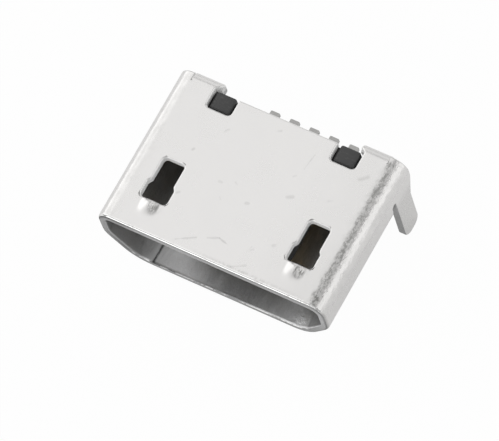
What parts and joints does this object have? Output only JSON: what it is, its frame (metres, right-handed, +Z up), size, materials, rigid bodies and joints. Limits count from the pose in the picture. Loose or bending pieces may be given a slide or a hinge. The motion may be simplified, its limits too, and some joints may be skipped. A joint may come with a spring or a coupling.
{
  "type": "micro usb socket",
  "caption": "Board-mounted micro USB type B socket with a folded metal shell, side legs, catch windows, a moulded tongue and flat contacts.",
  "frame": {"origin": "centre of the shell's underside, in the board's plane, half-way between the mouth's rim and the side walls' rear edges", "axes": "+X across the socket to the right when looking into the mouth, +Y from the mouth to the rear, +Z up from the board"},
  "size_m": [0.0074, 0.0057, 0.0034],
  "materials": {
    "plated_sheet": "satin nickel plate",
    "black_moulding": "black glass-filled moulding",
    "contact_metal": "tin-plated tails on a copper alloy strip"
  },
  "bodies": {
    "root": {"shell": "plated_sheet", "insulator_housing": "black_moulding", "contact_1": "contact_metal", "contact_2": "contact_metal", "contact_3": "contact_metal", "contact_4": "contact_metal", "contact_5": "contact_metal"}
  },
  "joints": []
}
